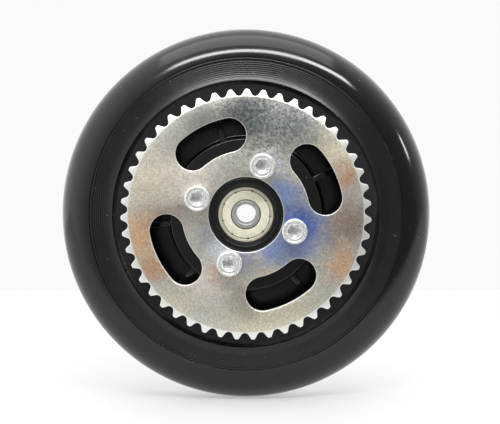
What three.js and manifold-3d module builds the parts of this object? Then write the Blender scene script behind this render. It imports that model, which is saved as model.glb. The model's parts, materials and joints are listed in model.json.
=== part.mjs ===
// Scooter drive wheel: a solid round-section polyurethane tyre cast on a moulded nylon hub, a bolted-on
// 47-tooth plate sprocket for 1/4 inch pitch chain (ANSI 25), and two shielded 608 ball bearings.
// Millimetres. The axle line is the Y axis, the sprocket is on the -Y side, and the origin is on the
// axle line at the middle of the tyre's width. Every profile is a list of [radius, y] points.
import * as THREE from "three";
import { mergeVertices } from "three/addons/utils/BufferGeometryUtils.js";
import Module from "manifold-3d";

const wasm = await Module();
wasm.setup();

// ---- driving dimensions ----
const GAP = 0.1; // between faces that rest on each other
const WHEEL_SIDES = 48; // sides of the polygons that stand for the tyre's and the hub's circles
const SMALL_SIDES = 16; // the same for fasteners
const BEARING_SIDES = 24; // the same for the bearings and their spacer

const TYRE_R = 75;
const TYRE_HALF_WIDTH = 15; // the section is round, so this is its radius too
const TYRE_CENTRE_R = TYRE_R - TYRE_HALF_WIDTH;

const RIM_R = 62.2; // outer edge of the hub's ring face, where the tyre begins
const RIM_FACE_Y = 15;
const GROOVE_FLOOR_R = 57; // dovetail groove that keys the tyre to the rim
const GROOVE_HALF_MOUTH = 8.5;
const GROOVE_HALF_FLOOR = 11;
const LIP_R = 52.7; // inner edge of the ring face, which rises to a lip there
const LIP_FOOT_R = 58.5;
const LIP_HEIGHT = 1;
const LEDGE_R = 47; // a step behind the teeth, from which the hub drops to its web
const LEDGE_Y = 14.5;
const WEB_HALF = 3;
const BOSS_R = 30;
const BOSS_FRONT_Y = -18.5; // the sprocket's seat
const BOSS_BACK_Y = 15;
const RIBS = 9;
const RIB_THICKNESS = 2.5;
const RIB_START_DEG = 26.9;

const SPIGOT_R = 14.6; // centres the sprocket
const SPIGOT_Y = -20.7;
const POCKET_MOUTH_R = 12.5;

const CHAIN_PITCH = 6.35;
const ROLLER_R = 1.65;
const TEETH = 47;
const TOOTH_TIP_R = 49.35;
const TOOTH_TIP_WIDTH = 1.4;
const SEAT_RAISE = 0.75; // the roller seats are this much shallower than the standard form
const BEVEL_R = 46.4; // both faces fall away from here to the tips
const BEVEL_SLOPE = 0.28;
const TOOTH_START_DEG = -2.41;
const SPROCKET_THICKNESS = 2.8;
const SPROCKET_HOLE_R = 14.8;
const SLOT_MID_R = 31.9;
const SLOT_HALF_WIDTH = 6.73;
const SLOT_HALF_DEG = 14.7; // from the slot's middle to the centre of its round end
const SLOT_START_DEG = 26.5;

const BOLTS = 4;
const BOLT_CIRCLE_R = 20;
const BOLT_START_DEG = 71.3;
const BOLT_HOLE_R = 3.3;
const SHANK_R = 2.95;
const HEAD_R = 5;
const HEAD_HEIGHT = 6;
const SOCKET_ACROSS_FLATS = 5;
const SOCKET_DEPTH = 3;
const SCREW_LENGTH = 45;
const WASHER_R = 6;
const WASHER_THICKNESS = 1.6;
const NUT_ACROSS_FLATS = 10;
const NUT_HEIGHT = 6;
const NUT_BORE_R = 3.1;
const INSERT_R = 3.75;
const INSERT_HEIGHT = 1.3;

const BEARING_R = 11;
const BEARING_BORE_R = 4;
const BEARING_HALF_WIDTH = 3.5;
const FRONT_BEARING_Y = -15.2; // middle of the bearing behind the spigot's mouth
const BACK_BEARING_Y = 10.5;
const BALLS = 7;
const BALL_R = 1.9;
const BALL_CIRCLE_R = 7.5;
const RACE_R = 2.05; // radius of the groove that a ball runs in
const NOTCHES = 9; // crimping marks round a shield's edge
const NOTCH_START_DEG = 35;
const SPACER_R = 5.3;
const SPACER_BORE_R = 4.2;

const SPROCKET_BACK_Y = BOSS_FRONT_Y - GAP;
const SPROCKET_FRONT_Y = SPROCKET_BACK_Y - SPROCKET_THICKNESS;
const WASHER_FACE_Y = BOSS_BACK_Y + GAP;
const NUT_FACE_Y = WASHER_FACE_Y + WASHER_THICKNESS + GAP;
const FRONT_SHOULDER_Y = FRONT_BEARING_Y + BEARING_HALF_WIDTH + GAP;
const BACK_SHOULDER_Y = BACK_BEARING_Y - BEARING_HALF_WIDTH - GAP;

// ---- materials ----
const finish = (color, roughness, metalness) =>
  new THREE.MeshStandardMaterial({ color, roughness, metalness });
const RUBBER = finish(0x0b0b0c, 0.12, 0);
const NYLON = finish(0x121213, 0.4, 0);
const ZINC = finish(0xb4b2ae, 0.3, 1);
const BRIGHT_ZINC = finish(0xd2d2d0, 0.22, 1);
const BEARING_STEEL = finish(0x9a9a98, 0.25, 1);
const SHIELD_STEEL = finish(0xc9c4ae, 0.3, 1);
const BALL_STEEL = finish(0xdcdcdc, 0.08, 1);
const WHITE_NYLON = finish(0xe8e8e2, 0.5, 0);

// ---- geometry tools ----
const radians = THREE.MathUtils.degToRad;
const polar = (r, a) => new THREE.Vector2(r * Math.cos(a), r * Math.sin(a));
const mirrored = (profile) => profile.map(([r, y]) => [r, -y]).reverse();
const shifted = (profile, dy) => profile.map(([r, y]) => [r, y + dy]);

// A closed three.js geometry as a manifold-3d solid, turned inside out if its faces point inwards.
function solid(geometry) {
  const bare = geometry.clone().deleteAttribute("normal").deleteAttribute("uv");
  const merged = mergeVertices(bare, 1e-4);
  const triVerts = new Uint32Array(merged.index.array);
  const vertProperties = merged.attributes.position.array;
  const make = () => new wasm.Manifold(new wasm.Mesh({ numProp: 3, vertProperties, triVerts }));
  const made = make();
  if (made.volume() > 0) return made;
  for (let i = 0; i < triVerts.length; i += 3)
    [triVerts[i], triVerts[i + 1]] = [triVerts[i + 1], triVerts[i]];
  return make();
}

function geometryOf(body) {
  const mesh = body.getMesh();
  const geometry = new THREE.BufferGeometry();
  geometry.setAttribute("position", new THREE.BufferAttribute(new Float32Array(mesh.vertProperties), 3));
  geometry.setIndex(new THREE.BufferAttribute(new Uint32Array(mesh.triVerts), 1));
  const faceted = geometry.toNonIndexed();
  faceted.computeVertexNormals();
  return faceted;
}

// A ring or a disc turned about the Y axis; a profile that isn't closed has both its ends on the axis.
const turned = (profile, sides) =>
  solid(new THREE.LatheGeometry(profile.map(([r, y]) => new THREE.Vector2(r, y)), sides));

const ring = (inner, outer, low, high, sides) =>
  turned([[inner, low], [outer, low], [outer, high], [inner, high], [inner, low]], sides);

const rod = (r, low, high, sides) => turned([[0, low], [r, low], [r, high], [0, high]], sides);

// A flat outline in the XZ plane, thickened along Y from low to high.
function plate(outline, low, high) {
  const settings = { depth: high - low, bevelEnabled: false, curveSegments: 5 };
  const geometry = new THREE.ExtrudeGeometry(outline, settings);
  return solid(geometry.rotateX(Math.PI / 2).translate(0, high, 0));
}

// The same solid moved in the XZ plane to a place given by radius and angle from +X towards +Z.
const placed = (body, r, degrees) =>
  body.translate([r * Math.cos(radians(degrees)), 0, r * Math.sin(radians(degrees))]);

// Points on an arc of the [radius, y] half plane, angles measured from the outward direction.
function arc(centre, centreY, r, fromDeg, toDeg, steps) {
  return Array.from({ length: steps + 1 }, (_, i) => {
    const a = radians(fromDeg + ((toDeg - fromDeg) * i) / steps);
    return [centre + r * Math.cos(a), centreY + r * Math.sin(a)];
  });
}

function hexagon(acrossFlats) {
  const cornerR = acrossFlats / 2 / Math.cos(Math.PI / 6);
  return new THREE.Shape(Array.from({ length: 6 }, (_, i) => polar(cornerR, (i * Math.PI) / 3)));
}

const wheel = new THREE.Group();
function add(name, body, material) {
  const mesh = new THREE.Mesh(geometryOf(body), material);
  mesh.name = name;
  wheel.add(mesh);
}

// ---- tyre ----
function tyre() {
  const clearance = 0.3;
  const keyR = GROOVE_FLOOR_R + clearance;
  const beadR = RIM_R + clearance;
  const beadDeg = THREE.MathUtils.radToDeg(Math.acos((beadR - TYRE_CENTRE_R) / TYRE_HALF_WIDTH));
  const key = [
    [beadR, GROOVE_HALF_MOUTH - clearance],
    [keyR, GROOVE_HALF_FLOOR - clearance],
  ];
  const tread = arc(TYRE_CENTRE_R, 0, TYRE_HALF_WIDTH, -beadDeg, beadDeg, 12);
  return turned([...tread, ...key, ...mirrored(key), tread[0]], WHEEL_SIDES);
}

// ---- hub ----
// Half of the section, from the groove's floor round the rim to the web's foot at the boss.
const RIM_SECTION = [
  [GROOVE_FLOOR_R, -GROOVE_HALF_FLOOR],
  [RIM_R, -GROOVE_HALF_MOUTH],
  [RIM_R, -RIM_FACE_Y],
  [LIP_FOOT_R, -RIM_FACE_Y],
  [LIP_R + 3.6, -RIM_FACE_Y - 0.18 * LIP_HEIGHT],
  [LIP_R + 1.8, -RIM_FACE_Y - 0.5 * LIP_HEIGHT],
  [LIP_R + 0.35, -RIM_FACE_Y - LIP_HEIGHT],
  [LIP_R, -RIM_FACE_Y - LIP_HEIGHT + 0.25],
  [LIP_R - 1.5, -LEDGE_Y],
  [LEDGE_R + 0.5, -LEDGE_Y],
  [LEDGE_R, -LEDGE_Y + 0.5],
  [LEDGE_R - 0.8, -WEB_HALF - 2],
  [LEDGE_R - 2.8, -WEB_HALF],
];

function bossSection(faceY) {
  const side = Math.sign(faceY);
  return [
    [BOSS_R + 2, side * WEB_HALF],
    [BOSS_R + 0.4, side * (WEB_HALF + 2)],
    [BOSS_R, faceY - side * 0.4],
    [BOSS_R - 0.4, faceY],
  ];
}

function rib(degrees, side) {
  const outline = new THREE.Shape();
  outline.moveTo(BOSS_R - 2, WEB_HALF - 1);
  outline.lineTo(BOSS_R - 2, RIM_FACE_Y - 1);
  outline.lineTo(BOSS_R + 1, RIM_FACE_Y - 1);
  outline.lineTo(LEDGE_R + 0.5, WEB_HALF + 5.5);
  outline.lineTo(LEDGE_R + 0.5, WEB_HALF - 1);
  const blank = new THREE.ExtrudeGeometry(outline, { depth: RIB_THICKNESS, bevelEnabled: false });
  blank.translate(0, 0, -RIB_THICKNESS / 2);
  return solid(blank).scale([1, side, 1]).rotate([0, -degrees, 0]);
}

function hub() {
  const seatR = BEARING_R + 0.2;
  const shoulderR = 9.4;
  const bore = [
    [SPIGOT_R, BOSS_FRONT_Y],
    [SPIGOT_R - 0.3, SPIGOT_Y],
    [POCKET_MOUTH_R, SPIGOT_Y],
    [seatR, SPIGOT_Y + 1.4],
    [seatR, FRONT_SHOULDER_Y],
    [shoulderR, FRONT_SHOULDER_Y],
    [shoulderR, BACK_SHOULDER_Y],
    [seatR, BACK_SHOULDER_Y],
    [seatR, BOSS_BACK_Y - 0.8],
    [seatR + 0.8, BOSS_BACK_Y],
  ];
  const front = [...RIM_SECTION, ...bossSection(BOSS_FRONT_Y)];
  const back = [...bossSection(BOSS_BACK_Y).reverse(), ...mirrored(RIM_SECTION)];
  let body = turned([...front, ...bore, ...back, front[0]], WHEEL_SIDES);
  for (let i = 0; i < RIBS; i++)
    for (const side of [-1, 1]) body = body.add(rib(RIB_START_DEG + (360 / RIBS) * i, side));
  const hole = rod(BOLT_HOLE_R, BOSS_FRONT_Y - 1, BOSS_BACK_Y + 1, SMALL_SIDES);
  for (let i = 0; i < BOLTS; i++)
    body = body.subtract(placed(hole, BOLT_CIRCLE_R, BOLT_START_DEG + (360 / BOLTS) * i));
  return body;
}

// ---- sprocket ----
// Round each tooth space runs a roller seat, and a short flank climbs from it to a blunt tip.
function toothOutline() {
  const pitchR = CHAIN_PITCH / 2 / Math.sin(Math.PI / TEETH);
  const seatR = ROLLER_R * 1.02;
  const seatDeg = 62;
  const tipHalfAngle = TOOTH_TIP_WIDTH / 2 / TOOTH_TIP_R;
  const points = [];
  for (let i = 0; i < TEETH; i++) {
    const tooth = radians(TOOTH_START_DEG) + (2 * Math.PI * i) / TEETH;
    const space = tooth + Math.PI / TEETH;
    points.push(polar(TOOTH_TIP_R, tooth - tipHalfAngle), polar(TOOTH_TIP_R, tooth + tipHalfAngle));
    for (const deg of [-seatDeg, -seatDeg / 3, seatDeg / 3, seatDeg]) {
      const across = seatR * Math.sin(radians(deg));
      const inward = seatR * Math.cos(radians(deg));
      const seat = new THREE.Vector2(pitchR + SEAT_RAISE - inward, across);
      points.push(seat.rotateAround(new THREE.Vector2(), space));
    }
  }
  return points;
}

function slotOutline(middleDeg) {
  const [from, to] = [middleDeg - SLOT_HALF_DEG, middleDeg + SLOT_HALF_DEG].map(radians);
  const [first, last] = [polar(SLOT_MID_R, from), polar(SLOT_MID_R, to)];
  const slot = new THREE.Path();
  slot.absarc(0, 0, SLOT_MID_R + SLOT_HALF_WIDTH, from, to, false);
  slot.absarc(last.x, last.y, SLOT_HALF_WIDTH, to, to + Math.PI, false);
  slot.absarc(0, 0, SLOT_MID_R - SLOT_HALF_WIDTH, to, from, true);
  slot.absarc(first.x, first.y, SLOT_HALF_WIDTH, from + Math.PI, from + 2 * Math.PI, false);
  return slot;
}

const circle = (x, z, r) => new THREE.Path().absarc(x, z, r, 0, 2 * Math.PI, false);

function sprocket() {
  const outline = new THREE.Shape(toothOutline());
  for (let i = 0; i < BOLTS; i++) {
    const hole = polar(BOLT_CIRCLE_R, radians(BOLT_START_DEG + (360 / BOLTS) * i));
    outline.holes.push(slotOutline(SLOT_START_DEG + (360 / BOLTS) * i));
    outline.holes.push(circle(hole.x, hole.y, BOLT_HOLE_R));
  }
  const blank = plate(outline, SPROCKET_FRONT_Y, SPROCKET_BACK_Y);
  // Both faces are turned down towards the tips, so that the chain runs on easily.
  const outside = TOOTH_TIP_R + 1;
  const bevelDepth = (outside - BEVEL_R) * BEVEL_SLOPE;
  const [front, back] = [SPROCKET_FRONT_Y, SPROCKET_BACK_Y];
  const bevelled = turned(
    [
      [SPROCKET_HOLE_R, front],
      [BEVEL_R, front],
      [outside, front + bevelDepth],
      [outside, back - bevelDepth],
      [BEVEL_R, back],
      [SPROCKET_HOLE_R, back],
      [SPROCKET_HOLE_R, front],
    ],
    WHEEL_SIDES,
  );
  return blank.intersect(bevelled);
}

// ---- fasteners ----
function screw() {
  const seatY = SPROCKET_FRONT_Y - GAP;
  const topY = seatY - HEAD_HEIGHT;
  const endY = seatY + SCREW_LENGTH;
  const body = turned(
    [
      [0, topY],
      [HEAD_R - 0.6, topY],
      [HEAD_R, topY + 0.6],
      [HEAD_R, seatY],
      [SHANK_R, seatY],
      [SHANK_R, endY - 0.8],
      [SHANK_R - 0.8, endY],
      [0, endY],
    ],
    SMALL_SIDES,
  );
  const socket = plate(hexagon(SOCKET_ACROSS_FLATS), topY - 1, topY + SOCKET_DEPTH);
  const drillR = 2.3;
  const drillWall = [[0, topY + 2], [drillR, topY + 2], [drillR, topY + SOCKET_DEPTH]];
  const drillPoint = turned([...drillWall, [0, topY + SOCKET_DEPTH + 1.2]], 12);
  return body.subtract(socket).subtract(drillPoint);
}

function lockNut() {
  const top = NUT_FACE_Y + NUT_HEIGHT;
  const collarR = 4.3;
  const hexHeight = 4.2;
  const cornerR = NUT_ACROSS_FLATS / 2 / Math.cos(Math.PI / 6);
  const envelope = turned(
    [
      [0, NUT_FACE_Y],
      [cornerR - 0.5, NUT_FACE_Y],
      [cornerR + 0.2, NUT_FACE_Y + 0.5],
      [cornerR + 0.2, NUT_FACE_Y + hexHeight - 0.6],
      [collarR, NUT_FACE_Y + hexHeight],
      [collarR, top - 0.4],
      [collarR - 0.5, top],
      [0, top],
    ],
    SMALL_SIDES,
  );
  const recess = rod(INSERT_R + 0.1, top - INSERT_HEIGHT - 0.5, top + 1, SMALL_SIDES);
  const bore = rod(NUT_BORE_R, NUT_FACE_Y - 1, top + 1, SMALL_SIDES);
  const blank = plate(hexagon(NUT_ACROSS_FLATS), NUT_FACE_Y, top).intersect(envelope);
  return blank.subtract(recess).subtract(bore);
}

function nutInsert() {
  const top = NUT_FACE_Y + NUT_HEIGHT - 0.3;
  return ring(NUT_BORE_R, INSERT_R, top - INSERT_HEIGHT, top, SMALL_SIDES);
}

const washer = () =>
  ring(BOLT_HOLE_R, WASHER_R, WASHER_FACE_Y, WASHER_FACE_Y + WASHER_THICKNESS, SMALL_SIDES);

// ---- bearings: each piece is drawn about y = 0 and moved to its bearing's middle ----
const raceY = (shoulderR) => Math.sqrt(RACE_R ** 2 - (BALL_CIRCLE_R - shoulderR) ** 2);
const raceDeg = (shoulderR) =>
  THREE.MathUtils.radToDeg(Math.acos(Math.abs(shoulderR - BALL_CIRCLE_R) / RACE_R));

const SHIELD_SEAT_R = 9.95;
function outerRing() {
  const shoulderR = 9.2;
  const angle = raceDeg(shoulderR);
  const half = [
    [BEARING_R, -BEARING_HALF_WIDTH + 0.3],
    [BEARING_R - 0.3, -BEARING_HALF_WIDTH],
    [SHIELD_SEAT_R, -BEARING_HALF_WIDTH],
    [SHIELD_SEAT_R, -BEARING_HALF_WIDTH + 1],
    [shoulderR, -BEARING_HALF_WIDTH + 1.2],
  ];
  const race = arc(BALL_CIRCLE_R, 0, RACE_R, -angle, angle, 2);
  return turned([...half, ...race, ...mirrored(half), half[0]], BEARING_SIDES);
}

function innerRing() {
  const shoulderR = 6;
  const stepR = 5.5;
  const half = [
    [BEARING_BORE_R, -BEARING_HALF_WIDTH + 0.35],
    [BEARING_BORE_R + 0.35, -BEARING_HALF_WIDTH],
    [stepR, -BEARING_HALF_WIDTH],
    [stepR, -BEARING_HALF_WIDTH + 1],
    [shoulderR, -BEARING_HALF_WIDTH + 1.3],
    [shoulderR, -raceY(shoulderR)],
  ];
  const angle = raceDeg(shoulderR);
  const race = arc(BALL_CIRCLE_R, 0, RACE_R, 180 + angle, 180 - angle, 2).slice(1, -1);
  return turned([...half, ...race, ...mirrored(half), half[0]], BEARING_SIDES);
}

// A ring round the ball circle with a round window for each ball.
function cage() {
  const [inner, outer, halfWidth] = [6.9, 8.1, 2.4];
  const window = solid(new THREE.CylinderGeometry(RACE_R, RACE_R, 4, 10).rotateZ(Math.PI / 2));
  let body = ring(inner, outer, -halfWidth, halfWidth, 3 * BALLS);
  for (let i = 0; i < BALLS; i++)
    body = body.subtract(window.translate([BALL_CIRCLE_R, 0, 0]).rotate([0, (-360 / BALLS) * i, 0]));
  return body;
}

const ball = (i) =>
  placed(solid(new THREE.SphereGeometry(BALL_R, 8, 6)), BALL_CIRCLE_R, (360 / BALLS) * i);

// A pressed disc with a rolled outer edge, drawn for the -Y end. The outward one shows the notches of the
// tool that crimps it into the outer ring.
function shield(notched) {
  const [face, sheet, edgeR, innerR] = [-BEARING_HALF_WIDTH + 0.1, 0.3, 9.75, 5.93];
  let body = turned(
    [
      [innerR, face + 0.25],
      [edgeR - 0.9, face + 0.25],
      [edgeR - 0.5, face],
      [edgeR, face + 0.2],
      [edgeR, face + 0.8],
      [edgeR - 0.5, face + 0.8],
      [edgeR - 0.8, face + 0.25 + sheet],
      [innerR, face + 0.25 + sheet],
      [innerR, face + 0.25],
    ],
    BEARING_SIDES,
  );
  const notch = solid(new THREE.BoxGeometry(0.7, 0.5, 0.5)).translate([edgeR - 0.2, face, 0]);
  for (let i = 0; notched && i < NOTCHES; i++)
    body = body.subtract(notch.rotate([0, -NOTCH_START_DEG - (360 / NOTCHES) * i, 0]));
  return body;
}

function bearing(name, middleY) {
  const put = (body) => body.scale([1, -Math.sign(middleY), 1]).translate([0, middleY, 0]);
  add(name + "_outer_ring", put(outerRing()), BEARING_STEEL);
  add(name + "_inner_ring", put(innerRing()), BEARING_STEEL);
  add(name + "_cage", put(cage()), BEARING_STEEL);
  for (let i = 0; i < BALLS; i++) add(name + "_ball_" + (i + 1), put(ball(i)), BALL_STEEL);
  add(name + "_outer_shield", put(shield(true)), SHIELD_STEEL);
  add(name + "_inner_shield", put(shield(false).scale([1, -1, 1])), SHIELD_STEEL);
}

// ---- assembly ----
add("tyre", tyre(), RUBBER);
add("hub", hub(), NYLON);
add("sprocket", sprocket(), ZINC);
const FASTENERS = [
  ["sprocket_screw", screw(), BRIGHT_ZINC],
  ["washer", washer(), BRIGHT_ZINC],
  ["lock_nut", lockNut(), BRIGHT_ZINC],
  ["nut_insert", nutInsert(), WHITE_NYLON],
];
for (const [name, body, material] of FASTENERS)
  for (let i = 0; i < BOLTS; i++)
    add(name + "_" + (i + 1), placed(body, BOLT_CIRCLE_R, BOLT_START_DEG + (360 / BOLTS) * i), material);
bearing("front_bearing", FRONT_BEARING_Y);
bearing("back_bearing", BACK_BEARING_Y);
const spacer = ring(SPACER_BORE_R, SPACER_R, FRONT_SHOULDER_Y, BACK_SHOULDER_Y, BEARING_SIDES);
add("bearing_spacer", spacer, BEARING_STEEL);

export default wheel;
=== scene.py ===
import json
import math

import bmesh
import bpy
from mathutils import Matrix, Vector


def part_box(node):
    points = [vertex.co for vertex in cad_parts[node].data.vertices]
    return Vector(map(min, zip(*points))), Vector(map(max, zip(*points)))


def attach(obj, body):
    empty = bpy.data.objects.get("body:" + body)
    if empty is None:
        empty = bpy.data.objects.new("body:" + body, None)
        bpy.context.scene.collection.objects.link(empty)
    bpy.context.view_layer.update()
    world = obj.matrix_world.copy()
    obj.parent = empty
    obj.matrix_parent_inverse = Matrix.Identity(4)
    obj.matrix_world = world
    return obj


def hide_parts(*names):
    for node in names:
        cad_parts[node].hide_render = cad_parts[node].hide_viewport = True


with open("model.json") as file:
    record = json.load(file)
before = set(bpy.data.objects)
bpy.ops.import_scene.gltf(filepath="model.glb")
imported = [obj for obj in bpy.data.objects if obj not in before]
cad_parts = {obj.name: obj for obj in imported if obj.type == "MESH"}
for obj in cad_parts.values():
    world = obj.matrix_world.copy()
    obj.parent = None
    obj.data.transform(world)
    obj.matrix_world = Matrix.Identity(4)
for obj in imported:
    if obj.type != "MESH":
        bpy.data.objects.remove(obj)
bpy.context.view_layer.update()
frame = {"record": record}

MM = 0.001
TAU = 2 * math.pi


# ---- sizes taken from the frame ----
def low_high(node):
    low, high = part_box(node)
    return low / MM, high / MM


def centre(node):
    low, high = low_high(node)
    return (low + high) / 2


BODY_OF = {n: body for body, names in frame["record"]["behaviour"]["bodies"].items() for n in names}
BOLTS = range(1, 5)
BALLS = range(1, 8)

TYRE_R = low_high("tyre")[1].z
SECTION_R = 15.0
SECTION_CENTRE_R = TYRE_R - SECTION_R
RIM_R = low_high("hub")[1].z
RIM_FACE = 15.0
LIP_R = 52.7
LEDGE_R = 47.0
LEDGE_FACE = 14.5
LIP_FACE = low_high("hub")[1].y
SPIGOT_FACE = low_high("hub")[0].y
PLATE_FRONT = low_high("sprocket")[0].y
PLATE_BACK = low_high("sprocket")[1].y
TIP_R = low_high("sprocket")[1].z
HEAD_TOP = low_high("sprocket_screw_1")[0].y
SCREW_END = low_high("sprocket_screw_1")[1].y
BOSS_R = 30.0
BOSS_FRONT = -18.5
BOSS_BACK = 15.0
TEETH = 47
TOOTH_START = math.radians(-2.41)
PITCH_R = 6.35 / 2 / math.sin(math.pi / TEETH)
BEVEL_R = 46.3
BEVEL_SLOPE = 0.28
HOLE_R = 14.8
SLOT_R = 31.9
SLOT_HALF_WIDTH = 6.73
SLOT_HALF_ANGLE = math.radians(14.7)
SLOT_START = math.radians(26.5)
BOLT_HOLE_R = 3.3
RIBS = 9
RIB_START = math.radians(26.9)
NOTCHES = 9
NOTCH_START = math.radians(35)
GROOVE_R = 9.5


# ---- mesh tools ----
def on_ring(radius, y, angle):
    return Vector((radius * math.cos(angle), y, radius * math.sin(angle)))


def angles(count):
    return [TAU * i / count for i in range(count)]


def filleted(corners, closed=True, steps=5):
    """The corners' outline with an arc at each corner that has a third number, its radius."""
    points = []
    for i, corner in enumerate(corners):
        here = Vector(corner[:2])
        radius = corner[2] if len(corner) > 2 else 0
        if not radius or (not closed and i in (0, len(corners) - 1)):
            points.append(here)
            continue
        back = Vector(corners[i - 1][:2]) - here
        ahead = Vector(corners[(i + 1) % len(corners)][:2]) - here
        half = back.angle(ahead) / 2
        if half > math.radians(88):
            points.append(here)
            continue
        reach = min(radius / math.tan(half), 0.48 * back.length, 0.48 * ahead.length)
        radius = reach * math.tan(half)
        middle = here + (back.normalized() + ahead.normalized()).normalized() * radius / math.sin(half)
        start = here + back.normalized() * reach - middle
        turn = start.angle_signed(here + ahead.normalized() * reach - middle)
        for k in range(steps + 1):
            spun = start.copy()
            spun.rotate(Matrix.Rotation(-turn * k / steps, 2))
            points.append(middle + spun)
    return points


def mirrored(profile):
    return [(corner[0], -corner[1], *corner[2:]) for corner in reversed(profile)]


def skin(bm, rings, joined=False):
    """Faces between neighbouring rings of points. A ring of one point is the tip of a fan."""
    made = [[bm.verts.new(point * MM) for point in ring] for ring in rings]
    for first, second in zip(made, made[1:] + (made[:1] if joined else [])):
        count = max(len(first), len(second))
        for i in range(count if len(first) + len(second) > 2 else 0):
            j = (i + 1) % count
            near = [first[i % len(first)], first[j % len(first)]]
            far = [second[j % len(second)], second[i % len(second)]]
            bm.faces.new(list(dict.fromkeys(near + far)))
    return made


def turned_rings(profile, sides):
    return [
        [on_ring(r, y, a) for a in angles(sides)] if r > 1e-6 else [Vector((0, y, 0))]
        for r, y in profile
    ]


def turned(profile, sides, joined=True):
    bm = bmesh.new()
    skin(bm, turned_rings(profile, sides), joined)
    return bm


def hexagon(across_flats, angle):
    return across_flats / 2 / math.cos((angle + math.pi / 6) % (math.pi / 3) - math.pi / 6)


def to_object(name, bm):
    bmesh.ops.recalc_face_normals(bm, faces=bm.faces)
    mesh = bpy.data.meshes.new(name)
    bm.to_mesh(mesh)
    bm.free()
    made = bpy.data.objects.new(name, mesh)
    bpy.context.scene.collection.objects.link(made)
    return made


def boolean(target, tool, operation):
    """Joins the tool's solids to the target, or cuts them from it, and deletes the tool."""
    cut = target.modifiers.new(operation, "BOOLEAN")
    cut.operation = operation
    cut.solver = "EXACT"
    cut.object = tool
    evaluated = target.evaluated_get(bpy.context.evaluated_depsgraph_get())
    result = bpy.data.meshes.new_from_object(evaluated)
    target.modifiers.clear()
    target.data = result
    bpy.data.objects.remove(tool)


def smooth(made, sharp_degrees=32):
    mesh = made.data
    mesh.polygons.foreach_set("use_smooth", [True] * len(mesh.polygons))
    mesh.set_sharp_from_angle(angle=math.radians(sharp_degrees))


def fit(made, node, material):
    """Puts a finished piece in the place of its CAD node."""
    smooth(made)
    made.data.materials.clear()
    made.data.materials.append(material)
    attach(made, BODY_OF[node])
    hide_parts(node)


def move(bm, offset):
    bmesh.ops.translate(bm, verts=bm.verts, vec=offset * MM)
    return bm


# ---- shader tools ----
class Shader:
    """A material under construction. Each method adds one node and returns its output socket."""

    def __init__(self, name):
        self.material = bpy.data.materials.new(name)
        self.material.use_nodes = True
        self.tree = self.material.node_tree
        self.bsdf = self.tree.nodes["Principled BSDF"]

    def put(self, socket, value):
        if isinstance(value, bpy.types.NodeSocket):
            self.tree.links.new(value, socket)
        else:
            socket.default_value = value

    def set(self, **inputs):
        for name, value in inputs.items():
            self.put(self.bsdf.inputs[name.replace("_", " ")], value)

    def node(self, kind, inputs=(), **settings):
        made = self.tree.nodes.new(kind)
        for key, value in settings.items():
            setattr(made, key, value)
        for key, value in dict(inputs).items():
            self.put(made.inputs[key], value)
        return made

    def place(self, scale=(1, 1, 1), turn=0.0):
        """The object's own millimetres, stretched by scale after a turn about the axle."""
        coordinates = self.node("ShaderNodeTexCoord").outputs["Object"]
        mapped = self.node("ShaderNodeMapping", {"Vector": coordinates, "Rotation": (0, turn, 0)})
        factors = tuple(s / MM for s in scale)
        return self.node("ShaderNodeMapping", {"Vector": mapped.outputs[0], "Scale": factors}).outputs[0]

    def noise(self, scale, detail=2.0, roughness=0.5, vector=None, distortion=0.0):
        inputs = {"Scale": scale, "Detail": detail, "Roughness": roughness, "Distortion": distortion}
        inputs["Vector"] = vector or self.place()
        return self.node("ShaderNodeTexNoise", inputs).outputs["Fac"]

    def math(self, operation, a, b=0.0, c=0.0):
        return self.node("ShaderNodeMath", {0: a, 1: b, 2: c}, operation=operation).outputs[0]

    def span(self, value, low, high, to_low=0.0, to_high=1.0):
        inputs = {"Value": value, "From Min": low, "From Max": high, "To Min": to_low, "To Max": to_high}
        return self.node("ShaderNodeMapRange", inputs, interpolation_type="SMOOTHSTEP").outputs["Result"]

    def mix(self, factor, a, b):
        return self.node("ShaderNodeMix", {0: factor, 6: a, 7: b}, data_type="RGBA").outputs[2]

    def tone(self, colour, factor):
        """The colour made darker or lighter by a factor that may vary over the surface."""
        scaled = self.node("ShaderNodeVectorMath", {0: colour, "Scale": factor}, operation="SCALE")
        return scaled.outputs[0]

    def radius(self):
        """Distance from the axle line, in millimetres."""
        across = self.node("ShaderNodeVectorMath", {0: self.place(), 1: (1, 0, 1)}, operation="MULTIPLY")
        return self.node("ShaderNodeVectorMath", {0: across.outputs[0]}, operation="LENGTH").outputs["Value"]

    def sideways(self, start, end):
        """0 where the surface faces along the axle line, 1 where it faces away from it."""
        normal = self.node("ShaderNodeTexCoord").outputs["Normal"]
        facing = self.node("ShaderNodeSeparateXYZ", {0: normal}).outputs["Y"]
        return self.span(self.math("ABSOLUTE", facing), start, end)

    def bump(self, height, depth_mm, strength=1.0, normal=None):
        inputs = {"Height": height, "Distance": depth_mm * MM, "Strength": strength}
        if normal:
            inputs["Normal"] = normal
        return self.node("ShaderNodeBump", inputs).outputs[0]

    def around(self):
        """The direction round the axle line, for finishes turned on a lathe."""
        return self.node("ShaderNodeTangent", direction_type="RADIAL", axis="Y").outputs[0]


def srgb(red, green, blue):
    """A colour given as 0 to 255 screen values, in Blender's linear numbers."""
    linear = [((c / 255 + 0.055) / 1.055) ** 2.4 if c > 10 else c / 255 / 12.92 for c in (red, green, blue)]
    return (*linear, 1.0)


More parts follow.
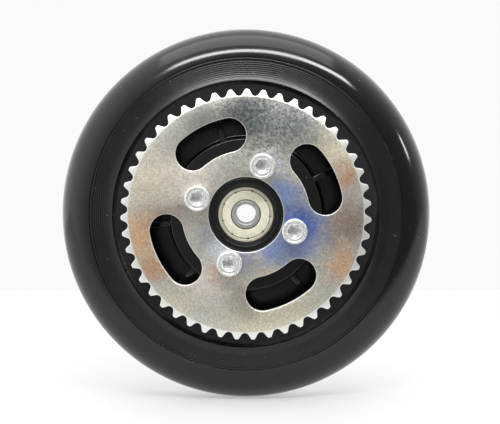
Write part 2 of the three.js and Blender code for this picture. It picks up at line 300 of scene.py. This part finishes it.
# ---- materials ----
def tyre_polyurethane():
    s = Shader("tyre_polyurethane")
    cloud = s.noise(0.05, 3)
    specks = s.span(s.noise(1.1, 0, vector=s.place()), 0.86, 0.9)
    base = s.mix(cloud, (0.0022, 0.0023, 0.0026, 1), (0.0036, 0.0038, 0.0042, 1))
    waves = s.bump(s.noise(0.06, 1), 0.12)
    s.set(
        Base_Color=s.mix(specks, base, (0.12, 0.12, 0.115, 1)),
        Roughness=s.math("ADD", s.span(cloud, 0.3, 0.7, 0.1, 0.15), s.math("MULTIPLY", specks, 0.4)),
        IOR=1.5,
        Normal=s.bump(s.noise(0.6, 3), 0.004, normal=waves),
    )
    return s.material


def hub_nylon():
    s = Shader("hub_nylon")
    cloud = s.noise(0.08, 4)
    grain = s.noise(5.0, 3)
    dust = s.span(s.noise(0.9, 0), 0.84, 0.9)
    base = s.mix(cloud, (0.0025, 0.0026, 0.0028, 1), (0.0045, 0.0046, 0.005, 1))
    radius = s.radius()
    turned_face = s.span(radius, LIP_R - 0.6, LIP_R + 0.2)
    outside, inside = s.span(radius, LEDGE_R - 1, LEDGE_R), s.span(radius, LIP_R + 0.2, LIP_R - 0.4)
    # Partly dust, partly painted light: the ledge inside the lip, deep in the shaded recess, is painted
    # lighter in cloudy patches, which lifts the recess's shade.
    dust_and_painted_light_ledge = s.math("MULTIPLY", s.math("MULTIPLY", outside, inside), s.span(cloud, 0.3, 0.6, 0.6, 1.0))
    base = s.mix(dust_and_painted_light_ledge, base, (0.016, 0.0165, 0.017, 1))
    gloss = s.span(s.math("ADD", cloud, s.math("MULTIPLY", grain, 0.3)), 0.3, 1.0, 0.13, 0.22)
    s.set(
        Base_Color=s.mix(dust, base, (0.1, 0.1, 0.1, 1)),
        Roughness=s.math("ADD", gloss, s.math("MULTIPLY", turned_face, 0.1)),
        IOR=1.48,
        Normal=s.bump(grain, 0.012),
    )
    return s.material


# Tints of the passivated zinc, and the darker tones of a painted reflection, as screen values.
PALE = (226, 216, 206)
STRAW = (204, 197, 176)
CREAM = (226, 214, 188)
TAN = (210, 172, 134)
RUST = (192, 144, 112)
BROWN = (142, 124, 114)
OLIVE = (140, 136, 122)
SLATE = (96, 103, 105)
GREEN_GREY = (126, 133, 132)
BLUE = (78, 104, 166)
SOFT_BLUE = (128, 146, 192)
VIOLET = (148, 146, 172)
WHITE_BLUE = (202, 208, 216)

# Where each patch lies: degrees round the plate, radius of its middle, reach and strength. Most are the
# plating's own tints. The slate and green-grey patches across the top are painted reflection of the darker
# room, and the pale patch at 150 degrees is partly tint, partly painted reflection.
TINTS_AND_REFLECTIONS = (
    (150, 27, 17, PALE, 0.8),
    (162, 42, 14, CREAM, 0.5),
    (285, 42, 22, STRAW, 0.9),
    (243, 29, 12, PALE, 0.6),
    (232, 44, 9, STRAW, 0.7),
    (269, 34, 9, OLIVE, 0.5),
    (192, 42, 14, TAN, 0.85),
    (183, 30, 9, BROWN, 0.6),
    (211, 42, 7, RUST, 0.75),
    (244, 27, 5, RUST, 0.35),
    (88, 38, 16, SLATE, 0.95),
    (64, 40, 13, GREEN_GREY, 0.85),
    (116, 42, 9, GREEN_GREY, 0.7),
    (34, 42.5, 10, CREAM, 0.9),
    (21, 43, 7, RUST, 0.75),
    (-4, 39, 13, BROWN, 0.9),
    (-27, 43, 9, TAN, 0.8),
    (-9, 21.5, 14, BLUE, 1.0),
    (-32, 26, 8, SOFT_BLUE, 0.7),
    (-50, 18, 9, SOFT_BLUE, 0.9),
    (30, 17, 8, SOFT_BLUE, 0.9),
    (266, 17.5, 6, VIOLET, 0.8),
    (234, 18, 7, WHITE_BLUE, 0.8),
    (204, 17, 6, VIOLET, 0.6),
    (64, 22, 8, WHITE_BLUE, 0.6),
)
ZINC_GAIN = 1.27  # the clean metal reflects more than its colour on a screen


def ragged_place(s, wander_mm):
    """The place in the plate's plane, shifted a little by noise, so that the tint patches and painted
    reflection patches get ragged outlines.
    """
    inputs = {"Vector": s.place(), "Scale": 0.16, "Detail": 7.0, "Roughness": 0.62}
    colour = s.node("ShaderNodeTexNoise", inputs).outputs["Color"]
    wander = s.node("ShaderNodeVectorMath", {0: colour, 1: (0.5, 0.5, 0.5)}, operation="SUBTRACT").outputs[0]
    shift = s.tone(wander, wander_mm)
    flat = s.node("ShaderNodeVectorMath", {0: s.place(), 1: (1, 0, 1)}, operation="MULTIPLY").outputs[0]
    return s.node("ShaderNodeVectorMath", {0: flat, 1: shift}, operation="ADD").outputs[0]


def away_from(s, spot, degrees, radius):
    middle = tuple(on_ring(radius, 0, math.radians(degrees)))
    return s.node("ShaderNodeVectorMath", {0: spot, 1: middle}, operation="DISTANCE").outputs["Value"]


def zinc_plate():
    s = Shader("zinc_plate")
    cloud = s.noise(0.2, 6, 0.7)
    blotch = s.noise(0.75, 5, 0.75, distortion=0.3)
    fleck = s.noise(1.6, 4, 0.7)
    spot = ragged_place(s, 14.0)
    colour = s.mix(cloud, srgb(172, 170, 160), srgb(198, 195, 184))
    # Each patch is a plating tint, except the slate and green-grey patches near the top, which are painted
    # reflection.
    for degrees, radius, reach, patch_colour, strength in TINTS_AND_REFLECTIONS:
        away = away_from(s, spot, degrees, radius)
        colour = s.mix(s.span(away, reach * 1.2, reach * 0.15, 0, strength), colour, srgb(*patch_colour))
    contrast = s.span(away_from(s, spot, 80, 37), 27, 8, 0.14, 0.8)  # the mottle is strongest near the top
    mottle = s.math("SUBTRACT", s.span(blotch, 0.36, 0.64), 0.5)
    shade = s.math("ADD", 1.0, s.math("MULTIPLY", mottle, contrast))
    shade = s.math("MULTIPLY", shade, s.span(fleck, 0.35, 0.65, 0.84, 1.16))
    colour = s.tone(colour, s.math("MULTIPLY", shade, ZINC_GAIN))
    # Painted highlight: the teeth's bevelled band and every cut wall (tooth flanks, hole and slot walls) are
    # painted near-white in place of the glint along the edges.
    bevel_highlight = s.span(s.radius(), BEVEL_R - 0.3, BEVEL_R + 0.2)
    cut = s.sideways(0.96, 0.74)
    colour = s.mix(s.math("MAXIMUM", bevel_highlight, cut), colour, srgb(240, 241, 236))
    scratches = None
    for turn, seed in ((0.3, 0), (1.25, 40), (2.2, 90)):
        streak = s.noise(1.0, 1, vector=s.place((0.045, 1, 5.5), turn + seed))
        line = s.span(streak, 0.725, 0.76)
        scratches = s.math("MAXIMUM", scratches, line) if scratches else line
    pits = s.span(s.noise(0.8, 1), 0.77, 0.82)
    bright = s.math("MAXIMUM", s.math("MULTIPLY", scratches, 0.3), s.math("MULTIPLY", pits, 0.8))
    s.set(
        Base_Color=s.mix(bright, colour, (0.9, 0.9, 0.87, 1)),
        Metallic=s.math("SUBTRACT", 0.85, s.math("MULTIPLY", cut, 0.5)),
        Roughness=s.math("ADD", s.span(blotch, 0.3, 0.7, 0.32, 0.44), s.math("MULTIPLY", scratches, -0.06)),
        Normal=s.bump(s.math("SUBTRACT", s.math("ADD", blotch, fleck), scratches), 0.01),
    )
    return s.material


def bright_zinc(name="bright_zinc", light=srgb(250, 252, 248), dark=srgb(218, 221, 218), metallic=0.65):
    s = Shader(name)
    cloud = s.noise(0.7, 4, 0.6)
    grain = s.noise(6.0, 2)
    s.set(
        Base_Color=s.mix(s.span(cloud, 0.35, 0.65), dark, light),
        Metallic=metallic,
        Roughness=s.span(s.noise(1.8, 3), 0.3, 0.7, 0.16, 0.3),
        Normal=s.bump(s.math("ADD", cloud, grain), 0.012),
    )
    return s.material


def insert_nylon():
    s = Shader("insert_nylon")
    s.set(
        Base_Color=s.mix(s.noise(1.2, 3), srgb(222, 220, 208), srgb(238, 237, 228)),
        Roughness=s.span(s.noise(3.0, 3), 0.3, 0.7, 0.4, 0.55),
        IOR=1.53,
        Normal=s.bump(s.noise(8.0, 2), 0.01),
    )
    return s.material


def ground_steel(name, light, dark, low, high, marks_mm, metallic=1.0, crimped=False):
    """Steel finished by turning or grinding round the axle line, so its marks are rings."""
    s = Shader(name)
    radius = s.radius()
    rings = s.node("ShaderNodeCombineXYZ", {0: radius, 1: 0.0, 2: 0.0}).outputs[0]
    marks = s.noise(marks_mm, 4, 0.7, vector=rings)
    cloud = s.noise(0.5, 3)
    colour = s.mix(s.span(s.math("ADD", marks, cloud), 0.75, 1.25), dark, light)
    if crimped:
        # Painted shade: the shield's groove and crimps are painted dark brown.
        colour = s.mix(s.math("MULTIPLY", crimp_painted_shade(s, radius), 0.85), colour, srgb(62, 58, 44))
    s.set(
        Base_Color=colour,
        Metallic=metallic,
        Roughness=s.span(cloud, 0.3, 0.7, low, high),
        Anisotropic=0.35,
        Tangent=s.around(),
        Normal=s.bump(marks, 0.002),
    )
    return s.material


def crimp_painted_shade(s, radius):
    """1 in the shield's groove and in each crimp of its rolled edge: painted shade where the sheet dips into
    shadow.
    """
    groove = s.span(s.math("ABSOLUTE", s.math("SUBTRACT", radius, GROOVE_R)), 0.2, 0.08)
    where = s.node("ShaderNodeSeparateXYZ", {0: s.place()}).outputs
    turn = s.math("ARCTAN2", where["Z"], where["X"])
    step = TAU / NOTCHES
    off = s.math("PINGPONG", s.math("SUBTRACT", turn, NOTCH_START), step / 2)
    across = s.math("MULTIPLY", s.math("ABSOLUTE", off), GROOVE_R)
    reach = s.span(s.math("ABSOLUTE", s.math("SUBTRACT", radius, GROOVE_R)), 0.6, 0.45)
    return s.math("MAXIMUM", groove, s.math("MULTIPLY", s.span(across, 0.34, 0.16), reach))


# The floor fades in between these two lines in front of the wheel, so the tyre reflects no hard edge.
FLOOR_FRONT = -170.0
FLOOR_SOLID = -66.0


def stage_white():
    s = Shader("stage_white")
    ahead = s.node("ShaderNodeSeparateXYZ", {0: s.place()}).outputs["Y"]
    s.set(
        Base_Color=s.mix(s.noise(0.004, 2), (0.29, 0.29, 0.285, 1), (0.32, 0.32, 0.315, 1)),
        Roughness=0.6,
        Specular_IOR_Level=0.25,
        Emission_Color=(1, 1, 1, 1),
        Emission_Strength=0.43,
        Alpha=s.span(ahead, FLOOR_FRONT, FLOOR_SOLID),
        Normal=s.bump(s.noise(0.5, 2), 0.002),
    )
    return s.material


TYRE = tyre_polyurethane()
NYLON = hub_nylon()
ZINC = zinc_plate()
SCREW_ZINC = bright_zinc()
NUT_ZINC = bright_zinc("nut_zinc", srgb(214, 214, 210), srgb(168, 169, 168), 1.0)
INSERT = insert_nylon()
RING_STEEL = ground_steel("ring_steel", srgb(206, 205, 202), srgb(184, 183, 181), 0.3, 0.38, 5.0, 0.8)
OUTER_RING_STEEL = ground_steel(
    "outer_ring_steel", srgb(226, 222, 200), srgb(206, 202, 182), 0.3, 0.4, 5.0, 0.6)
SPACER_STEEL = ground_steel("spacer_steel", srgb(70, 70, 72), srgb(52, 52, 54), 0.4, 0.5, 5.0)
SHIELD_STEEL = ground_steel(
    "shield_steel", srgb(236, 233, 210), srgb(222, 218, 196), 0.4, 0.5, 3.0, 0.3, crimped=True)
BALL_STEEL = ground_steel("ball_steel", srgb(226, 226, 226), srgb(204, 204, 204), 0.05, 0.09, 2.0)


# ---- tyre ----
def make_tyre():
    bead_r, key_r, clear = RIM_R + 0.15, 57.3, 0.3
    bead_angle = math.acos((bead_r - SECTION_CENTRE_R) / SECTION_R)
    key = [(bead_r, 8.5 - clear, 0.3), (key_r, 11 - clear, 0.4)]
    steps = 96
    tread = []
    for i in range(steps + 1):
        a = bead_angle * (2 * i / steps - 1)
        seam = 0.05 * math.exp(-((a * SECTION_R / 0.25) ** 2))  # the trimmed joint of the mould's halves
        reach = SECTION_R - seam
        tread.append((SECTION_CENTRE_R + reach * math.cos(a), reach * math.sin(a)))
    tread[0] = (*tread[0], 0.15)
    tread[-1] = (*tread[-1], 0.15)
    fit(to_object("tyre_cast", turned(filleted([*tread, *key, *mirrored(key)]), 320)), "tyre", TYRE)


# ---- hub ----
def ring_face():
    """The ring face from its outer edge inwards: fine turned grooves on a ramp that rises to the lip."""
    outer, inner, pitch, depth, samples, ramp = 61.3, LIP_R + 0.5, 0.8, 0.1, 8, 4.6
    count = round((outer - inner) / pitch) * samples
    points = []
    for i in range(count + 1):
        r = outer - (outer - inner) * i / count
        climb = max(0, (inner + ramp - r) / ramp)
        groove = depth * (1 - climb) * (1 - math.cos(TAU * i / samples)) / 2
        points.append((r, -RIM_FACE - (LIP_FACE - RIM_FACE) * climb**2.2 + groove))
    return points


def rim_half():
    return [
        (57, -11, 0.5),
        (RIM_R, -8.5, 0.4),
        (RIM_R, -RIM_FACE, 0.6),
        *ring_face(),
        (LIP_R + 0.3, -LIP_FACE + 0.05, 0.2),
        (LIP_R, -LIP_FACE + 0.4, 0.25),
        (LIP_R - 1.1, -LEDGE_FACE, 0.5),
        (LEDGE_R + 0.1, -LEDGE_FACE, 0.5),
        (LEDGE_R - 0.8, -5.0, 1.2),
        (LEDGE_R - 2.8, -3.0, 1.4),
        (BOSS_R + 0.8, -3.0, 1.6),
    ]


def rib(bm, angle, side):
    """A sloping gusset from the boss to the rim's wall, with rounded long edges."""
    half = 1.2
    outline = [(BOSS_R - 2, 2), (BOSS_R - 2, 14), (BOSS_R + 1, 14), (LEDGE_R, 8.6), (LEDGE_R, 2)]
    rings = [[Vector((r, side * y, z)) for r, y in outline] for z in (-half, half)]
    own = bmesh.new()
    made = skin(own, rings)
    own.faces.new(made[0])
    own.faces.new(made[1])
    top = [e for e in own.edges if all(v in (*made[0][2:4], *made[1][2:4]) for v in e.verts)]
    long_edges = [e for e in top if abs(e.verts[0].co.z - e.verts[1].co.z) < 1e-6]
    bmesh.ops.bevel(own, geom=long_edges, offset=0.45 * MM, segments=3, affect="EDGES", profile=0.5)
    bmesh.ops.recalc_face_normals(own, faces=own.faces)
    own.transform(Matrix.Rotation(-angle, 4, "Y"))
    mesh = bpy.data.meshes.new("rib")
    own.to_mesh(mesh)
    own.free()
    bm.from_mesh(mesh)
    bpy.data.meshes.remove(mesh)


def make_hub():
    seat_r, shoulder_r, clear = 11.2, 9.4, 0.1
    front_shoulder = low_high("front_bearing_outer_ring")[1].y + clear
    back_shoulder = low_high("back_bearing_outer_ring")[0].y - clear
    bore = [
        (BOSS_R, BOSS_FRONT, 0.6),
        (14.6, BOSS_FRONT, 0.2),
        (14.45, SPIGOT_FACE, 0.45),
        (12.5, SPIGOT_FACE, 0.3),
        (seat_r, SPIGOT_FACE + 1.5, 0.3),
        (seat_r, front_shoulder, 0.15),
        (shoulder_r, front_shoulder, 0.3),
        (shoulder_r, back_shoulder, 0.3),
        (seat_r, back_shoulder, 0.15),
        (seat_r, BOSS_BACK - 0.8, 0.2),
        (seat_r + 0.8, BOSS_BACK, 0.2),
        (BOSS_R, BOSS_BACK, 0.6),
    ]
    hub = to_object("hub_moulding", turned(filleted([*rim_half(), *bore, *mirrored(rim_half())]), 256))
    ribs = bmesh.new()
    for i in range(RIBS):
        for side in (-1, 1):
            rib(ribs, RIB_START + TAU * i / RIBS, side)
    boolean(hub, to_object("ribs", ribs), "UNION")
    holes = bmesh.new()
    for i in BOLTS:
        place = centre(f"sprocket_screw_{i}")
        rings = turned_rings([(0, BOSS_FRONT - 1), (BOLT_HOLE_R, BOSS_FRONT - 1),
                              (BOLT_HOLE_R, BOSS_BACK + 1), (0, BOSS_BACK + 1)], 48)
        skin(holes, [[point + Vector((place.x, 0, place.z)) for point in ring] for ring in rings])
    boolean(hub, to_object("holes", holes), "DIFFERENCE")
    fit(hub, "hub", NYLON)


# ---- sprocket ----
def tooth_outline():
    """The toothed edge in the plate's plane: a roller seat in each space, and blunt rounded tips."""
    seat_r, seat_centre, seat_half = 1.68, PITCH_R + 0.75, math.radians(66)
    tip_half = 0.7 / TIP_R
    corners = []
    for i in range(TEETH):
        tooth = TOOTH_START + TAU * i / TEETH
        space = tooth + math.pi / TEETH
        for a in (tooth - tip_half, tooth + tip_half):
            corners.append((TIP_R * math.cos(a), TIP_R * math.sin(a), 0.62))
        for k in range(11):
            a = seat_half * (k / 5 - 1)
            point = Vector((seat_centre - seat_r * math.cos(a), seat_r * math.sin(a)))
            point.rotate(Matrix.Rotation(space, 2))
            corners.append(tuple(point))
    return filleted(corners, steps=6)


def arc_points(middle, radius, start, end, steps):
    turn = [start + (end - start) * k / steps for k in range(steps + 1)]
    return [middle + Vector((math.cos(a), math.sin(a))) * radius for a in turn]


def slot_outline(angle):
    start, end = angle - SLOT_HALF_ANGLE, angle + SLOT_HALF_ANGLE
    first, last = (Vector((math.cos(a), math.sin(a))) * SLOT_R for a in (start, end))
    zero = Vector((0, 0))
    points = arc_points(zero, SLOT_R + SLOT_HALF_WIDTH, start, end, 24)
    points += arc_points(last, SLOT_HALF_WIDTH, end, end + math.pi, 32)[1:-1]
    points += arc_points(zero, SLOT_R - SLOT_HALF_WIDTH, end, start, 24)
    points += arc_points(first, SLOT_HALF_WIDTH, start + math.pi, start + TAU, 32)[1:-1]
    return points


def grown(outline, distance):
    """A closed counter-clockwise outline moved outwards by a distance."""
    moved = []
    for i, point in enumerate(outline):
        along = outline[(i + 1) % len(outline)] - outline[i - 1]
        moved.append(point + Vector((along.y, -along.x)).normalized() * distance)
    return moved


def in_plane(outline, y_at):
    return [Vector((p.x, y_at(p.length), p.y)) for p in outline]


def edge_rings(outline, inwards, round_off, y_front, y_back):
    """Rings down a cut edge, rounded at both faces. inwards is -1 for the rim and 1 for a hole's wall."""
    steps = 4
    rings = []
    for face, into in ((y_front, 1), (y_back, -1)):
        side = []
        for k in range(steps + 1):
            a = math.pi / 2 * k / steps
            reach = inwards * round_off * (1 - math.sin(a))
            drop = into * round_off * (1 - math.cos(a))
            side.append(in_plane(grown(outline, reach), lambda r, drop=drop, face=face: face(r) + drop))
        rings += side if into > 0 else side[::-1]
    return rings


def fill_face(bm, loops):
    edges = []
    for loop in loops:
        for i, vert in enumerate(loop):
            edges.append(bm.edges.get((vert, loop[(i + 1) % len(loop)])))
    bmesh.ops.triangle_fill(bm, edges=edges, use_beauty=True)


def make_sprocket():
    def front(r):
        return PLATE_FRONT + max(0, r - BEVEL_R) * BEVEL_SLOPE

    def back(r):
        return PLATE_BACK - max(0, r - BEVEL_R) * BEVEL_SLOPE

    bm = bmesh.new()
    teeth = tooth_outline()
    circle = [point.normalized() * BEVEL_R for point in teeth]
    rim = [in_plane(circle, front), *edge_rings(teeth, -1, 0.16, front, back), in_plane(circle, back)]
    fronts, backs = [], []
    for rings in [rim] + [edge_rings(hole, 1, 0.34, front, back) for hole in plate_holes()]:
        made = skin(bm, rings)
        fronts.append(made[0])
        backs.append(made[-1])
    fill_face(bm, fronts)
    fill_face(bm, backs)
    fit(to_object("sprocket_plate", bm), "sprocket", ZINC)


def plate_holes():
    holes = [arc_points(Vector((0, 0)), HOLE_R, 0, TAU * 127 / 128, 127)]
    for i in BOLTS:
        place = centre(f"sprocket_screw_{i}")
        holes.append(arc_points(Vector((place.x, place.z)), BOLT_HOLE_R, 0, TAU * 31 / 32, 31))
        holes.append(slot_outline(SLOT_START + TAU * i / len(BOLTS)))
    return holes


# ---- fasteners ----
def shaped_ring(sides, radius_at, y):
    return [on_ring(radius_at(a), y, a) for a in angles(sides)]


def screw_rings():
    sides, knurls, flats = 180, 60, 5.0
    head_r, head_height, shank_r = 5.0, 6.0, 2.95
    entry_r, depth = 3.05, 3.0
    rings = [[Vector((0, HEAD_TOP + depth + 1.15, 0))]]
    rings += [shaped_ring(sides, lambda a: 2.15, HEAD_TOP + depth + 0.1)]
    rings += [shaped_ring(sides, lambda a: hexagon(flats - 0.1, a), HEAD_TOP + depth)]
    for drop in (2.9, 0.6, 0.45, 0.3, 0.2, 0.1, 0.0):
        rings.append(shaped_ring(sides, lambda a, drop=drop: max(hexagon(flats, a), entry_r - drop),
                                 HEAD_TOP + drop))
    rings.append(shaped_ring(sides, lambda a: 3.5, HEAD_TOP + 0.1))
    rings.append(shaped_ring(sides, lambda a: 3.95, HEAD_TOP + 0.1))
    rings.append(shaped_ring(sides, lambda a: 4.12, HEAD_TOP))
    round_off, steps = 0.75, 6
    for k in range(1, steps + 1):
        a = math.pi / 2 * k / steps
        radius = head_r - round_off * (1 - math.sin(a)) - 0.02
        y = HEAD_TOP + round_off * (1 - math.cos(a))
        rings.append(shaped_ring(sides, lambda t, radius=radius: radius, y))

    def knurled(a):
        return head_r - (0.14 if round(a / TAU * sides) % (sides // knurls) == 0 else 0)

    rings.append(shaped_ring(sides, knurled, HEAD_TOP + 1.0))
    rings.append(shaped_ring(sides, knurled, HEAD_TOP + head_height - 0.5))
    lower = [(head_r - 0.1, HEAD_TOP + head_height - 0.3), (head_r - 0.35, HEAD_TOP + head_height),
             (shank_r + 0.2, HEAD_TOP + head_height), (shank_r, HEAD_TOP + head_height + 0.25)]
    rings += turned_rings(lower, sides)
    pitch = 1.0
    turns = 20
    start = SCREW_END - 0.9 - turns * pitch
    thread = []
    for k in range(turns):
        y = start + k * pitch
        thread += [(shank_r - 0.45, y), (shank_r - 0.45, y + 0.15), (shank_r, y + 0.45), (shank_r, y + 0.6)]
    thread += [(shank_r - 0.45, SCREW_END - 0.75), (shank_r - 0.5, SCREW_END - 0.3)]
    thread += [(shank_r - 0.8, SCREW_END), (0, SCREW_END)]
    return rings + turned_rings(thread, sides)


def nut_rings():
    low, high = low_high("lock_nut_1")
    bottom, top, sides, flats, hex_height = low.y, high.y, 144, 10.0, 4.2

    def chamfered(depth):
        return lambda a: min(hexagon(flats, a), 4.85 + depth * 1.75)

    rings = [shaped_ring(sides, lambda a: 3.1, bottom + 0.4), shaped_ring(sides, lambda a: 3.4, bottom)]
    steps = (0, 0.12, 0.24, 0.36, 0.48, 0.6)
    rings += [shaped_ring(sides, chamfered(d), bottom + d) for d in steps]
    rings += [shaped_ring(sides, chamfered(d), bottom + hex_height - d) for d in reversed(steps)]
    collar = [(4.5, bottom + hex_height + 0.02), (4.3, bottom + hex_height + 0.15), (4.3, top - 0.7),
              (4.22, top - 0.3), (4.02, top - 0.06), (3.9, top), (3.8, top - 0.06), (3.82, top - 0.3),
              (3.82, top - 1.75), (3.1, top - 1.75)]
    return rings + turned_rings(collar, sides)


def rounded_ring(inner, outer, low, high, corner):
    square = ((inner, low), (outer, low), (outer, high), (inner, high))
    return filleted([(r, y, corner) for r, y in square])


def make_fasteners():
    washer_low, washer_high = low_high("washer_1")
    insert_low, insert_high = low_high("nut_insert_1")
    washer = rounded_ring(BOLT_HOLE_R, 6.0, washer_low.y, washer_high.y, 0.22)
    insert = rounded_ring(3.1, 3.75, insert_low.y, insert_high.y, 0.2)
    kinds = (
        ("sprocket_screw", screw_rings(), False, SCREW_ZINC),
        ("washer", turned_rings(washer, 96), True, NUT_ZINC),
        ("lock_nut", nut_rings(), True, NUT_ZINC),
        ("nut_insert", turned_rings(insert, 96), True, INSERT),
    )
    for kind, rings, joined, material in kinds:
        for i in BOLTS:
            place = centre(f"sprocket_screw_{i}")
            bm = bmesh.new()
            skin(bm, rings, joined)
            bm.transform(Matrix.Rotation(-math.radians(23) * i, 4, "Y"))
            move(bm, Vector((place.x, 0, place.z)))
            fit(to_object(f"{kind}_piece_{i}", bm), f"{kind}_{i}", material)


# ---- bearings ----
RACE_R = 2.05
BALL_R = 1.9
BALL_CIRCLE_R = 7.5


def race(shoulder_r, side, steps=16):
    """The ball groove's arc, from -y to +y. side is 1 in the outer ring and -1 in the inner ring."""
    reach = math.acos(abs(shoulder_r - BALL_CIRCLE_R) / RACE_R)
    turn = [reach * (2 * k / steps - 1) for k in range(steps + 1)]
    return [(BALL_CIRCLE_R + side * RACE_R * math.cos(a), RACE_R * math.sin(a)) for a in turn]


def outer_ring_profile():
    half = [(11.0, -3.5, 0.4), (9.95, -3.5, 0.12), (9.95, -2.5, 0.1), (9.2, -2.3, 0.15)]
    return filleted([*half, *race(9.2, 1), *mirrored(half)])


def inner_ring_profile():
    half = [(4.0, -3.5, 0.3), (5.55, -3.5, 0.22), (5.5, -2.5, 0.1), (6.0, -2.2, 0.15)]
    return filleted([*half, *race(6.0, -1), *mirrored(half)])


def shield_rings():
    """A pressed shield: flat disc, groove, and a rolled edge crimped down at even places."""
    sheet, crimp_floor = 0.28, -2.76
    outer = [(5.93, -3.18, 0.06), (9.28, -3.18, 0.1), (9.42, -2.95, 0.06), (9.58, -2.95, 0.06),
             (9.68, -3.3, 0.06), (9.86, -3.28, 0.06), (9.88, -2.9, 0.04)]
    inner = [(9.8, -2.62, 0.04), (9.36, -2.62, 0.05), (9.1, -3.18 + sheet, 0.06), (5.93, -3.18 + sheet, 0.06)]
    profile = filleted([*outer, *inner], steps=3)
    sides = 270
    rings = []
    for radius, y in profile:
        ring = []
        for i, a in enumerate(angles(sides)):
            step = sides // NOTCHES
            near = abs((i - round(NOTCH_START / TAU * sides) + step // 2) % step - step // 2)
            crimped = near <= 1 and radius > 9.38 and y < crimp_floor
            ring.append(on_ring(radius, crimp_floor if crimped else y, a))
        rings.append(ring)
    return rings


def make_cage(name, y, material):
    ring = turned(rounded_ring(6.9, 8.1, -2.4, 2.4, 0.2), 140)
    cage = to_object(f"{name}_cage_piece", move(ring, Vector((0, y, 0))))
    windows = bmesh.new()
    for i in BALLS:
        turn = Matrix.Rotation(-TAU * (i - 1) / len(BALLS), 4, "Y")
        out = Matrix.Translation(Vector((BALL_CIRCLE_R, 0, 0)) * MM)
        place = turn @ out @ Matrix.Rotation(math.pi / 2, 4, "Y")
        bmesh.ops.create_cone(windows, cap_ends=True, segments=40, radius1=RACE_R * MM, radius2=RACE_R * MM,
                              depth=3 * MM, matrix=Matrix.Translation(Vector((0, y, 0)) * MM) @ place)
    boolean(cage, to_object("windows", windows), "DIFFERENCE")
    fit(cage, f"{name}_cage", material)


def make_bearing(name):
    low, high = low_high(f"{name}_outer_ring")
    middle = (low.y + high.y) / 2
    outward = math.copysign(1, middle)
    for part, profile, material in (("outer_ring", outer_ring_profile(), OUTER_RING_STEEL),
                                    ("inner_ring", inner_ring_profile(), RING_STEEL)):
        placed = [(r, y + middle) for r, y in profile]
        fit(to_object(f"{name}_{part}_piece", turned(placed, 180)), f"{name}_{part}", material)
    for part, facing in (("outer_shield", outward), ("inner_shield", -outward)):
        rings = [[Vector((p.x, middle - facing * p.y, p.z)) for p in ring] for ring in shield_rings()]
        bm = bmesh.new()
        skin(bm, rings, joined=True)
        fit(to_object(f"{name}_{part}_piece", bm), f"{name}_{part}", SHIELD_STEEL)
    make_cage(name, middle, RING_STEEL)
    for i in BALLS:
        node = f"{name}_ball_{i}"
        ball = bmesh.new()
        bmesh.ops.create_uvsphere(ball, u_segments=32, v_segments=20, radius=BALL_R * MM)
        move(ball, on_ring(BALL_CIRCLE_R, middle, TAU * (i - 1) / len(BALLS)))
        fit(to_object(f"{node}_piece", ball), node, BALL_STEEL)


def make_spacer():
    low, high = low_high("bearing_spacer")
    profile = rounded_ring(4.2, 5.3, low.y, high.y, 0.25)
    fit(to_object("bearing_spacer_piece", turned(profile, 128)), "bearing_spacer", SPACER_STEEL)


# ---- stage ----
def make_floor():
    half, near, far, z = 2500.0, FLOOR_FRONT, 500.0, -TYRE_R
    bm = bmesh.new()
    corners = ((-half, near), (half, near), (half, far), (-half, far))
    bm.faces.new([bm.verts.new(Vector((x, y, z)) * MM) for x, y in corners])
    floor = to_object("floor", bm)
    floor.data.materials.append(stage_white())


def aim(made, place, target):
    made.location = place
    made.rotation_euler = (target - place).to_track_quat("-Z", "Y").to_euler()


def softbox(name, azimuth, elevation, distance, width, height, power):
    """A rectangular light. Azimuth 0 is in front of the sprocket, and grows to the right."""
    data = bpy.data.lights.new(name, "AREA")
    data.shape = "RECTANGLE"
    data.size, data.size_y = width, height
    data.energy = power
    lamp = bpy.data.objects.new(name, data)
    bpy.context.scene.collection.objects.link(lamp)
    a, e = math.radians(azimuth), math.radians(elevation)
    away = Vector((math.sin(a) * math.cos(e), -math.cos(a) * math.cos(e), math.sin(e)))
    aim(lamp, away * distance, Vector((0, 0, 0)))


def make_world():
    """White surroundings, dimmer on the camera's side, where the room is."""
    world = bpy.data.worlds.new("surroundings")
    bpy.context.scene.world = world
    world.use_nodes = True
    nodes, links = world.node_tree.nodes, world.node_tree.links
    background = nodes["Background"]
    direction = nodes.new("ShaderNodeTexCoord").outputs["Generated"]
    facing = nodes.new("ShaderNodeVectorMath")
    facing.operation = "DOT_PRODUCT"
    facing.inputs[1].default_value = (-0.6, 1.0, 0.35)
    level = nodes.new("ShaderNodeMapRange")
    level.interpolation_type = "SMOOTHSTEP"
    for key, value in (("From Min", -1.3), ("From Max", 0.7), ("To Min", 0.22), ("To Max", 1.4)):
        level.inputs[key].default_value = value
    seen = nodes.new("ShaderNodeLightPath").outputs["Is Camera Ray"]
    strength = nodes.new("ShaderNodeMix")
    strength.inputs[3].default_value = 0.955
    links.new(direction, facing.inputs[0])
    links.new(facing.outputs["Value"], level.inputs["Value"])
    links.new(seen, strength.inputs[0])
    links.new(level.outputs["Result"], strength.inputs[2])
    links.new(strength.outputs[0], background.inputs["Strength"])
    background.inputs["Color"].default_value = (1, 1, 1, 1)


def make_camera():
    data = bpy.data.cameras.new("camera")
    data.sensor_width = 36
    data.lens = 91.75
    camera = bpy.data.objects.new("camera", data)
    bpy.context.scene.collection.objects.link(camera)
    target = Vector((1.6, PLATE_FRONT, 1.05)) * MM
    tilt, distance = math.radians(1.45), 500 * MM
    aim(camera, target + Vector((0, -math.cos(tilt), math.sin(tilt))) * distance, target)
    bpy.context.scene.camera = camera


make_camera()
make_tyre()
make_hub()
make_sprocket()
make_fasteners()
for bearing in ("front_bearing", "back_bearing"):
    make_bearing(bearing)
make_spacer()
make_floor()
make_world()
softbox("main_light", 8, 47, 1.0, 1.0, 0.14, 9)
softbox("overhead_light", 0, 84, 1.2, 1.4, 0.9, 6.5)
softbox("side_light", 76, 21, 1.2, 0.1, 0.17, 0.9)
bpy.context.scene.view_settings.view_transform = "Standard"
